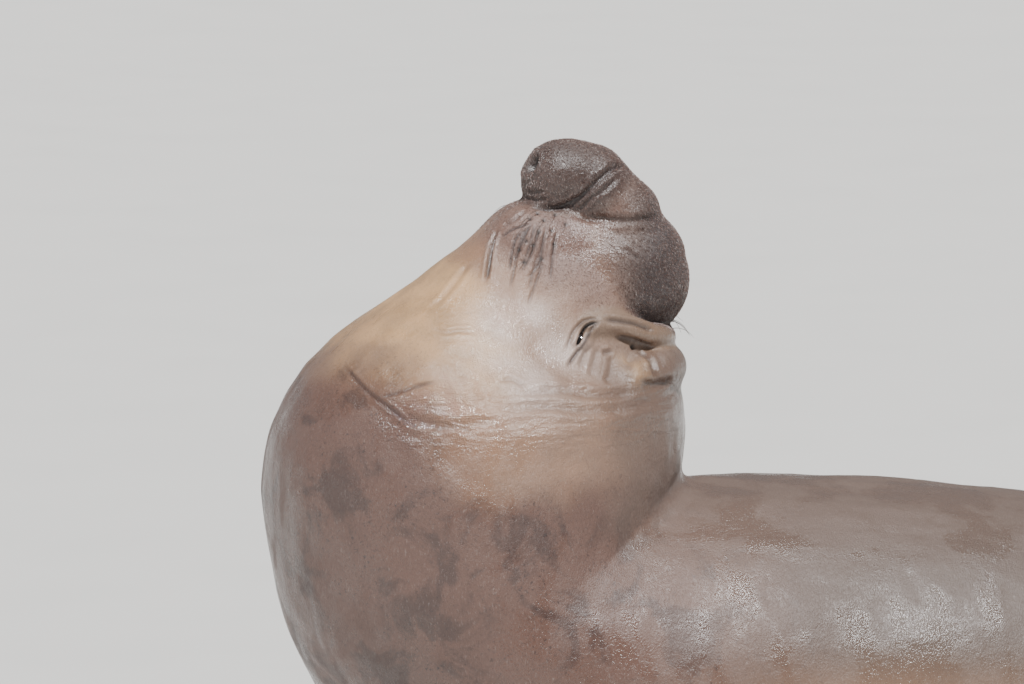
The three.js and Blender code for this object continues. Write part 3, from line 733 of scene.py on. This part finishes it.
def creases_group():
    """A fine net of wrinkles, as on thick hide."""
    tree, given, result = new_group(
        "Hide Creases", [("Vector", "vector"), ("Scale", "value", 34.0), ("Width", "value", 0.1)],
        [("Height", "value"), ("Mask", "value")])
    bend = put(tree, "ShaderNodeTexNoise", {"Vector": given["Vector"], "Scale": given["Scale"],
                                            "Detail": 3.0}).outputs[1]
    shift = put(tree, "ShaderNodeVectorMath", {0: bend, 1: (0.03, 0.03, 0.03)},
                operation="MULTIPLY").outputs[0]
    moved = put(tree, "ShaderNodeVectorMath", {0: given["Vector"], 1: shift}, operation="ADD").outputs[0]
    cells = put(tree, "ShaderNodeTexVoronoi", {"Vector": moved, "Scale": given["Scale"]},
                feature="DISTANCE_TO_EDGE").outputs["Distance"]
    open_skin = remap(tree, cells, 0.0, given["Width"])
    tree.links.new(open_skin, result["Height"])
    tree.links.new(math_node(tree, "SUBTRACT", 1.0, open_skin), result["Mask"])
    return tree


def wet_group():
    """Wet and drier patches, and ripples that are drawn out level."""
    tree, given, result = new_group(
        "Wet Patches", [("Vector", "vector"), ("Scale", "value", 5.0), ("Wet", "value", 0.5)],
        [("Roughness", "value"), ("Ripples", "value")])
    flat = put(tree, "ShaderNodeVectorMath", {0: given["Vector"], 1: (1.0, 1.0, 0.55)},
               operation="MULTIPLY").outputs[0]
    noise = put(tree, "ShaderNodeTexNoise", {"Vector": flat, "Scale": given["Scale"], "Detail": 8.0,
                                             "Roughness": 0.66, "Distortion": 0.4}).outputs[0]
    lifted = math_node(tree, "ADD", noise, math_node(tree, "MULTIPLY", given["Wet"], 0.2))
    film = remap(tree, lifted, 0.5, 0.72)
    tree.links.new(remap(tree, film, 0.0, 1.0, 0.55, 0.2), result["Roughness"])
    rows = put(tree, "ShaderNodeVectorMath", {0: given["Vector"], 1: (1.0, 1.0, 3.6)},
               operation="MULTIPLY").outputs[0]
    fine = math_node(tree, "MULTIPLY", given["Scale"], 2.6)
    ripples = put(tree, "ShaderNodeTexNoise", {"Vector": rows, "Scale": fine, "Detail": 5.0,
                                               "Distortion": 0.5}).outputs[0]
    tree.links.new(ripples, result["Ripples"])
    return tree


GROUPS = {"Short Hair Grain": hair_grain_group, "Mottling": mottling_group, "Hide Creases": creases_group,
          "Wet Patches": wet_group}


def grouped(tree, name, inputs):
    """Outputs of a node with the named group, which is built at its first use."""
    group = bpy.data.node_groups.get(name) or GROUPS[name]()
    return put(tree, "ShaderNodeGroup", inputs, node_tree=group).outputs


def skin_material(tint, size):
    """Wet short-haired hide, coloured by the masks of the skin."""
    material = bpy.data.materials.new("seal_hide")
    material.use_nodes = True
    tree = material.node_tree
    shader = tree.nodes["Principled BSDF"]
    here = put(tree, "ShaderNodeTexCoord").outputs["Object"]
    mask = {name: mask_node(tree, name) for name in SKIN_MASKS}
    hair = grouped(tree, "Short Hair Grain", {"Vector": here, "Scale": size.hair_scale, "Lie": 0.35})
    big = grouped(tree, "Mottling", {"Vector": here, "Scale": 7.0, "Amount": 0.62})
    small = grouped(tree, "Mottling", {"Vector": here, "Scale": 22.0, "Amount": 0.5})
    hide = grouped(tree, "Hide Creases", {"Vector": here, "Scale": 70.0, "Width": 0.1})
    wet = grouped(tree, "Wet Patches", {"Vector": here, "Scale": 6.0, "Wet": size.wetness})

    def times(first, second):
        return math_node(tree, "MULTIPLY", first, second)

    def scaled(value, gain, base, clamp=False):
        return math_node(tree, "MULTIPLY_ADD", value, gain, base, clamp=clamp)

    # Painted shade: nostrils, ears, lid slits and whisker pits are coloured near black where shade fills
    # them.
    deep = math_node(tree, "MAXIMUM", mask["hole"], math_node(tree, "MAXIMUM", mask["slit"], mask["pit"]))
    # Layers of colour, each over the ones before it: where it shows, and the colour
    layers = (
        (mask["back"], tint.back),
        (mask["throat"], tint.throat),
        (times(mask["throat"], small["Clouds"]), tint.throat_pale),
        (mask["low"], tint.chest),
        (times(times(mask["low"], big["Patches"]), 0.5), tint.dark),
        (times(mask["low"], times(small["Specks"], small["Clouds"])), tint.dark),
        (times(mask["nape"], 0.85), tint.nape),
        # Painted highlight: whitish wet skin on cheek and neck, partly its own pale tone
        (times(mask["pale_skin_and_painted_sheen"], 0.55), tint.pale_skin_and_painted_sheen),
        (mask["muzzle"], tint.muzzle),
        (mask["brow"], tint.brow),
        (times(times(mask["tan"], small["Clouds"]), 0.9), tint.throat),
        # Nose: partly its own dark hide, partly painted shade on its back and underside
        (mask["nose"], tint.nose),
        (mask["limbs"], tint.limbs),
        (times(small["Specks"], 0.22), tint.dark),
        (times(hair["Tips"], scaled(mask["nose"], 0.35, 0.16)), tint.hair_tips),
        (times(hair["Dark"], scaled(mask["nose"], 0.4, 0.22)), tint.dark),
        # Painted shade in the fine net of wrinkles, stronger on the flippers
        (times(hide["Mask"], scaled(mask["limbs"], 0.35, 0.04)), tint.dark),
        (times(mask["scar"], 0.7), tint.scar),
        # Painted shade in the creases, folds and lid slits
        (times(mask["crease"], 0.95), tint.dark),
        # Painted shade in the openings
        (times(deep, 0.95), tint.opening_shade),
    )
    colour = mix_colour(tree, big["Clouds"], tint.body, tint.body_warm)
    for factor, layer in layers:
        colour = mix_colour(tree, factor, colour, layer)

    rough = scaled(hair["Dark"], 0.12, wet["Roughness"])
    rough = scaled(mask["pale_skin_and_painted_sheen"], -0.14, rough)
    rough = scaled(mask["splash"], -0.16, rough)
    rough = scaled(mask["nose"], 0.12, rough, clamp=True)
    height = scaled(hair["Height"], 0.55, times(hide["Height"], 0.1))
    height = scaled(small["Clouds"], 0.9, height)
    height = scaled(times(mask["splash"], wet["Ripples"]), 3.0, height)
    bump = put(tree, "ShaderNodeBump", {"Height": height, "Strength": 0.6, "Distance": size.hair_bump})
    tree.links.new(bump.outputs[0], shader.inputs["Normal"])
    tree.links.new(colour, shader.inputs["Base Color"])
    tree.links.new(rough, shader.inputs["Roughness"])
    shader.inputs["Specular IOR Level"].default_value = 0.75
    shader.inputs["Sheen Weight"].default_value = 0.06
    return material


def plain_material(name, first, second, scale, rough, coat=0.0, bump=0.0):
    """Two colours mixed by a soft noise, which also gives the bump where there is one."""
    material = bpy.data.materials.new(name)
    material.use_nodes = True
    tree = material.node_tree
    shader = tree.nodes["Principled BSDF"]
    here = put(tree, "ShaderNodeTexCoord").outputs["Object"]
    noise = put(tree, "ShaderNodeTexNoise", {"Vector": here, "Scale": scale, "Detail": 5.0}).outputs[0]
    colour = mix_colour(tree, remap(tree, noise, 0.38, 0.62), first, second)
    tree.links.new(colour, shader.inputs["Base Color"])
    tree.links.new(remap(tree, noise, 0.3, 0.7, rough, rough * 1.3), shader.inputs["Roughness"])
    if bump:
        node = put(tree, "ShaderNodeBump", {"Height": noise, "Strength": 0.5, "Distance": bump})
        tree.links.new(node.outputs[0], shader.inputs["Normal"])
    shader.inputs["Coat Weight"].default_value = coat
    shader.inputs["Coat Roughness"].default_value = 0.04
    return material


def bristle_material():
    """Stiff hairs from dark to pale, by each hair's own tone."""
    material = bpy.data.materials.new("seal_bristle")
    material.use_nodes = True
    tree = material.node_tree
    shader = tree.nodes["Principled BSDF"]
    tone = mask_node(tree, "tone")
    colour = mix_colour(tree, remap(tree, tone, 0.0, 0.55), colours().dark, colours().muzzle)
    colour = mix_colour(tree, remap(tree, tone, 0.72, 1.15), colour, colours().hair_tips)
    tree.links.new(colour, shader.inputs["Base Color"])
    tree.links.new(remap(tree, tone, 0.0, 1.0, 0.55, 0.3), shader.inputs["Roughness"])
    return material


def linear(r, g, b):
    """Scene colour of an 0 to 255 screen colour."""
    return tuple(c / 3294.6 if c <= 10 else ((c / 255 + 0.055) / 1.055) ** 2.4 for c in (r, g, b)) + (1.0,)


def colour_property(name, text, r, g, b):
    return bpy.props.FloatVectorProperty(name=name, description=text, default=linear(r, g, b), size=4,
                                         min=0, max=1, subtype="COLOR")


def length_property(name, text, default, least, most):
    return bpy.props.FloatProperty(name=name, description=text, default=default, min=least, max=most,
                                   unit="LENGTH")


def share_property(name, text, default, most):
    return bpy.props.FloatProperty(name=name, description=text, default=default, min=0, max=most,
                                   subtype="FACTOR")


class SealSizes(bpy.types.PropertyGroup):
    eye_radius: length_property("Eye radius", "Radius of an eyeball", 0.036, 0.02, 0.04)
    fold_depth: share_property("Fold depth", "How deep folds and creases are pressed in", 1.0, 1.5)
    claw_length: length_property("Claw length", "Length of a claw along its curve", 0.062, 0.02, 0.08)
    whisker_length: length_property("Whisker length", "Length of the longest whiskers", 0.085, 0.02, 0.12)
    bristle_length: length_property(
        "Bristle length", "Length of the short stiff hairs on the nose", 0.0055, 0.002, 0.012)
    hair_scale: bpy.props.FloatProperty(
        name="Hair density", description="Hair strokes to a metre in the coat's grain", default=230.0,
        min=80, max=600)
    hair_bump: length_property("Hair bump", "Height of the coat's grain", 0.004, 0, 0.01)
    wetness: share_property("Wetness", "Share of the skin that shines with water", 0.5, 1)


class SealColours(bpy.types.PropertyGroup):
    body: colour_property("Body", "Grey tan of the neck and sides", 134, 107, 90)
    body_warm: colour_property("Body, warm", "Pinker clouds on the body", 152, 116, 92)
    back: colour_property("Back", "Darker back and trunk", 90, 75, 66)
    throat: colour_property("Throat", "Yellowish tan of the throat", 170, 134, 96)
    throat_pale: colour_property("Throat, pale", "Palest clouds on the throat", 196, 154, 110)
    chest: colour_property("Chest", "Reddish brown low on the chest", 98, 72, 62)
    # Real dark stains and hair roots, and also the painted shade in creases
    dark: colour_property("Mottling", "Dark stains, creases and hair roots", 42, 33, 33)
    nape: colour_property("Nape", "Greyish brown nape and shoulder", 102, 83, 73)
    muzzle: colour_property("Muzzle", "Pinkish grey muzzle", 118, 92, 83)
    brow: colour_property("Brow", "Tan roll of the brow", 124, 100, 82)
    # Partly the nose's own dark hide, partly painted shade of its shaded side
    nose: colour_property("Nose", "Dark swollen nose", 56, 45, 44)
    limbs: colour_property("Flippers", "Dark grey brown flippers", 54, 45, 41)
    hair_tips: colour_property("Hair tips", "Pale glinting tips of the short hair", 206, 194, 188)
    scar: colour_property("Scars", "Healed, darker lines", 58, 42, 38)
    # Painted shade inside nostrils, ears, lid slits and whisker pits
    opening_shade: colour_property("Openings", "Inside of nostrils, ears and lid slits", 16, 11, 11)
    # Partly pale wet skin, partly a painted highlight of light shining off it
    pale_skin_and_painted_sheen: colour_property("Sheen", "Pale wet skin of the cheek and upper neck", 206, 186, 176)
    eye: colour_property("Eye", "Almost black eyeball", 20, 14, 12)
    claw: colour_property("Claws", "Dark horn", 46, 38, 34)
    floor: colour_property("Floor", "Plain pale floor", 214, 212, 208)


def sizes():
    return bpy.context.scene.seal_sizes


def colours():
    return bpy.context.scene.seal_colours


def finish_piece(piece, material, nodes):
    """Gives a piece its material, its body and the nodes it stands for."""
    piece.data.materials.append(material)
    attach(piece, BODY)
    if nodes:
        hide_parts(*nodes)


class SEAL_OT_skin(bpy.types.Operator):
    """One skin over the whole animal, with its folds, lids, nostrils and colours"""
    bl_idname = "seal.skin"
    bl_label = "Skin"

    def execute(self, context):
        coarse = 1.0
        points, quads = surface_nets(*(spread(bands, coarse) for bands in (X_BANDS, Y_BANDS, Z_BANDS)))
        points = relax(points, quads, 1)
        moved, normals, masks = shaped(points, sizes())
        masks.update(region_masks(points, normals))
        piece = mesh_piece("skin", moved, quads)
        for name, values in masks.items():
            set_mask(piece, name, values)
        finish_piece(piece, skin_material(colours(), sizes()), FLESH_NODES)
        return {"FINISHED"}


class SEAL_OT_eyes(bpy.types.Operator):
    """Two dark, wet eyeballs behind their lids"""
    bl_idname = "seal.eyes"
    bl_label = "Eyes"

    def execute(self, context):
        radius = sizes().eye_radius / MM
        material = plain_material("seal_eye", colours().eye, linear(34, 24, 20), 60.0, 0.05, coat=1.0)
        points, faces = self.ball(radius)
        for name, side in (("left", -1), ("right", 1)):
            centre, out = eye_place(side)
            turn = Vector(out).to_track_quat("Z", "Y").to_matrix()
            placed = [tuple(turn @ Vector(p) + Vector(centre)) for p in points]
            piece = mesh_piece(f"eyeball_{name}", placed, faces)
            finish_piece(piece, material, [f"eye_{name}"])
        return {"FINISHED"}

    @staticmethod
    def ball(radius):
        """Points and faces of an eyeball that bulges a little at its front, +Z."""
        rings, sides = EYE_RINGS, EYE_SIDES
        points = [(0, 0, (1 + CORNEA_BULGE) * radius)]
        for i in range(1, rings):
            a = math.pi * i / rings
            swollen = radius * (1 + CORNEA_BULGE * math.exp(-(a / 0.5) ** 4))
            for j in range(sides):
                b = 2 * math.pi * j / sides
                points.append((swollen * math.sin(a) * math.cos(b), swollen * math.sin(a) * math.sin(b),
                               swollen * math.cos(a)))
        points.append((0, 0, -radius))
        faces = [(0, 1 + j, 1 + (j + 1) % sides) for j in range(sides)]
        for i in range(rings - 2):
            for j in range(sides):
                a, b = 1 + i * sides + j, 1 + i * sides + (j + 1) % sides
                faces.append((a, a + sides, b + sides, b))
        last = len(points) - 1
        faces += [(last, last - sides + (j + 1) % sides, last - sides + j) for j in range(sides)]
        return points, faces


def tube(path, radii, sides, points, faces):
    """Adds a tapered tube along a path, closed at its ends, to lists of points and faces."""
    first = len(points)
    path = [Vector(p) for p in path]
    for i, (p, r) in enumerate(zip(path, radii)):
        along = (path[min(i + 1, len(path) - 1)] - path[max(i - 1, 0)]).normalized()
        across = along.cross(Vector((0.3, 0.9, 0.2))).normalized()
        other = along.cross(across)
        for j in range(sides):
            a = 2 * math.pi * j / sides
            points.append(tuple(p + r * (math.cos(a) * across + math.sin(a) * other)))
    for i in range(len(path) - 1):
        for j in range(sides):
            a, b = first + i * sides + j, first + i * sides + (j + 1) % sides
            faces.append((a, b, b + sides, a + sides))
    last = first + (len(path) - 1) * sides
    faces.append(tuple(first + j for j in reversed(range(sides))))
    faces.append(tuple(last + j for j in range(sides)))


class SEAL_OT_claws(bpy.types.Operator):
    """Five curved claws on each fore flipper"""
    bl_idname = "seal.claws"
    bl_label = "Claws"

    def execute(self, context):
        points, faces = [], []
        length = sizes().claw_length / MM
        for side in (-1, 1):
            for i, digit in enumerate(FORE["lengths"]):
                start, end = digit_ends(WRIST, FORE, i, digit, FORE["r"][1])
                start, end = (Vector((p[0], side * p[1], 0)) for p in (start, end))
                ahead = (end - start).normalized()
                path, radii = [], []
                for n in range(CLAW_RINGS):
                    t = n / (CLAW_RINGS - 1)
                    rise = CLAW_HEIGHT + 6 * math.sin(t * math.pi * 0.9) - 12 * t * t
                    path.append(end + ahead * (length * (t - CLAW_SET_BACK)) + Vector((0, 0, rise)))
                    radii.append(CLAW_RADIUS * (1 - t) ** 0.62 + 0.5)
                tube(path, radii, 12, points, faces)
        piece = mesh_piece("claws", points, faces)
        material = plain_material("seal_claw", colours().claw, linear(88, 74, 64), 90.0, 0.32, 0.2, 0.0008)
        finish_piece(piece, material, ())
        return {"FINISHED"}


class SEAL_OT_hairs(bpy.types.Operator):
    """Whiskers from the pits of the muzzle, and the long hairs of the brows"""
    bl_idname = "seal.hairs"
    bl_label = "Whiskers"

    def execute(self, context):
        rng = np.random.default_rng(21)
        points, faces = [], []
        for side in (-1, 1):
            roots = on_skin(PITS, side)
            outs = slope(roots)
            for root, out in zip(roots, outs):
                length = sizes().whisker_length / MM * rng.uniform(0.25, 0.75)
                lean = np.array((-0.55, side * 0.1, -0.75)) + rng.normal(size=3) * 0.12
                self.hair(root, out, lean, length, 0.8, points, faces)
            for place in BROW_HAIR_ROOTS:
                root = np.array(place) * (1.0, side, 1.0)
                out = slope(root[None])[0]
                root = root - out * (flesh(root[None])[0] + 2)
                length = sizes().whisker_length / MM * rng.uniform(0.75, 1.0)
                lean = np.array((0.6, side * 0.15, -0.9)) + rng.normal(size=3) * 0.15
                self.hair(root, out, lean, length, 0.75, points, faces)
        piece = mesh_piece("whiskers", points, faces)
        material = plain_material("seal_whisker", linear(40, 32, 30), linear(92, 78, 70), 300.0, 0.3, 0.3)
        finish_piece(piece, material, ())
        return {"FINISHED"}

    @staticmethod
    def hair(root, out, lean, length, radius, points, faces):
        """One tapered hair that leaves along out and bends towards lean."""
        lean = lean / np.linalg.norm(lean)
        path, radii = [root - out * 2], [radius]
        place = root.copy()
        for n in range(1, HAIR_STEPS + 1):
            t = n / HAIR_STEPS
            step = out * (1 - t) + lean * (0.35 + t)
            place = place + step / np.linalg.norm(step) * length / HAIR_STEPS
            path.append(place)
            radii.append(radius * (1 - t) ** 0.7 + 0.12)
        tube(path, radii, 4, points, faces)


def vertex_values(mesh, name):
    values = np.empty(len(mesh.vertices), np.float32)
    mesh.attributes[name].data.foreach_get("value", values)
    return values


class SEAL_OT_bristles(bpy.types.Operator):
    """Short stiff hairs, pale and dark, lying over the swollen nose"""
    bl_idname = "seal.bristles"
    bl_label = "Nose bristles"

    def execute(self, context):
        rng = np.random.default_rng(5)
        mesh = bpy.data.objects["skin"].data
        co = np.empty(len(mesh.vertices) * 3, np.float32)
        mesh.vertices.foreach_get("co", co)
        co = (co.reshape(-1, 3) - np.array(ORIGIN)) / MM
        corners = np.empty(len(mesh.loops), np.int32)
        mesh.loops.foreach_get("vertex_index", corners)
        quads = corners.reshape(-1, 4)
        nose, muzzle, hole, pit = (vertex_values(mesh, name) for name in ("nose", "muzzle", "hole", "pit"))
        nose = (nose + 0.4 * muzzle) * (np.maximum(hole, pit) < 0.15)
        quads = quads[nose[quads].mean(1) > 0.15]
        a, b, c, d = (co[quads[:, n]] for n in range(4))
        across = np.cross(c - a, d - b)
        size = np.linalg.norm(across, axis=1)
        weight = size * nose[quads].mean(1)
        pick = rng.choice(len(quads), BRISTLES, p=weight / weight.sum())
        u, v = rng.random((2, BRISTLES, 1))
        root = (a[pick] * (1 - u) + b[pick] * u) * (1 - v) + (d[pick] * (1 - u) + c[pick] * u) * v
        out = across[pick] / size[pick][:, None]
        lie = np.array((0.45, 0, -0.9)) + rng.normal(size=(BRISTLES, 3)) * 0.3
        lie -= (lie * out).sum(1, keepdims=True) * out
        lie /= np.linalg.norm(lie, axis=1, keepdims=True)
        length = sizes().bristle_length / MM * rng.uniform(0.5, 1.1, (BRISTLES, 1))
        side = np.cross(out, lie)
        tip = root + length * (lie * 0.93 + out * rng.uniform(0.12, 0.4, (BRISTLES, 1)))
        thick = rng.uniform(0.3, 0.55, (BRISTLES, 1))
        points = np.stack([root - side * thick - out * 0.4, root + side * thick - out * 0.4,
                           root + out * thick, tip], axis=1).reshape(-1, 3)
        first = np.arange(BRISTLES)[:, None, None] * 4
        faces = (first + np.array(((0, 1, 2), (0, 3, 1), (1, 3, 2), (2, 3, 0)))).reshape(-1, 3)
        piece = mesh_piece("nose_bristles", points, faces, smooth=False)
        set_mask(piece, "tone", np.repeat(rng.random(BRISTLES), 4))
        # Each hair's UV patch lies by its root's place around and up the nose.
        around = 0.5 + np.arctan2(root[:, 1], root[:, 0] - 270) / 6.6
        place = np.stack([around, (root[:, 2] - 1150) / 620], axis=1)
        patch = np.array(((-1, -1), (1, -1), (-1, 1), (1, 1))) * 0.0015
        unwrapped = np.repeat(place, 4, axis=0) + np.tile(patch, (BRISTLES, 1))
        piece.data.uv_layers.new(name="OFBake").data.foreach_set(
            "uv", unwrapped[faces.ravel()].astype(np.float32).ravel())
        finish_piece(piece, bristle_material(), ())
        return {"FINISHED"}


class SEAL_OT_stage(bpy.types.Operator):
    """Floor, soft lights and the camera"""
    bl_idname = "seal.stage"
    bl_label = "Floor, lights and camera"

    def execute(self, context):
        floor = mesh_piece("floor", FLOOR, [(0, 1, 2, 3)], smooth=False)
        floor.location.z = -0.001
        floor.data.materials.append(plain_material("floor", colours().floor, colours().floor, 2.0, 0.8))
        world = bpy.data.worlds.new("studio")
        bpy.context.scene.world = world
        world.use_nodes = True
        sky = world.node_tree.nodes["Background"]
        sky.inputs["Color"].default_value = SKY_COLOUR
        sky.inputs["Strength"].default_value = SKY_STRENGTH
        for name, towards, energy, width in SUNS:
            light = bpy.data.lights.new(name, "SUN")
            light.energy = energy
            light.angle = math.radians(width)
            lamp = bpy.data.objects.new(name, light)
            lamp.rotation_mode = "QUATERNION"
            lamp.rotation_quaternion = Vector(towards).to_track_quat("Z", "Y")
            lamp.location = Vector(towards).normalized() * 6
            bpy.context.scene.collection.objects.link(lamp)
        camera = bpy.data.cameras.new("camera")
        camera.sensor_width = SENSOR_WIDTH
        camera.lens = SENSOR_WIDTH * CAMERA_DISTANCE / FRAME_WIDTH
        camera.clip_end = 200.0
        view = bpy.data.objects.new("camera", camera)
        bpy.context.scene.collection.objects.link(view)
        a, e = (math.radians(v) for v in CAMERA_ANGLES)
        back = Vector((math.sin(a) * math.cos(e), -math.cos(a) * math.cos(e), math.sin(e)))
        view.location = Vector(CAMERA_TARGET) * MM + ORIGIN + back * CAMERA_DISTANCE
        view.rotation_mode = "QUATERNION"
        view.rotation_quaternion = (-back).to_track_quat("-Z", "Y")
        bpy.context.scene.camera = view
        return {"FINISHED"}


class SEAL_PT_panel(bpy.types.Panel):
    bl_label = "Elephant Seal"
    bl_idname = "SEAL_PT_panel"
    bl_space_type = "VIEW_3D"
    bl_region_type = "UI"
    bl_category = "Seal"

    def draw(self, context):
        layout = self.layout
        for group in (context.scene.seal_sizes, context.scene.seal_colours):
            box = layout.box()
            for key in group.__annotations__:
                box.prop(group, key)
        for operator in OPERATORS:
            layout.operator(operator.bl_idname)


OPERATORS = (SEAL_OT_skin, SEAL_OT_eyes, SEAL_OT_claws, SEAL_OT_hairs, SEAL_OT_bristles, SEAL_OT_stage)
CLASSES = (SealSizes, SealColours, *OPERATORS, SEAL_PT_panel)


def register():
    for cls in CLASSES:
        bpy.utils.register_class(cls)
    bpy.types.Scene.seal_sizes = bpy.props.PointerProperty(type=SealSizes)
    bpy.types.Scene.seal_colours = bpy.props.PointerProperty(type=SealColours)


def unregister():
    del bpy.types.Scene.seal_colours
    del bpy.types.Scene.seal_sizes
    for cls in reversed(CLASSES):
        bpy.utils.unregister_class(cls)


def main():
    """Builds the seal and its studio."""
    register()
    bpy.ops.seal.skin()
    bpy.ops.seal.eyes()
    bpy.ops.seal.claws()
    bpy.ops.seal.hairs()
    bpy.ops.seal.bristles()
    bpy.ops.seal.stage()


if __name__ == "__main__":
    main()
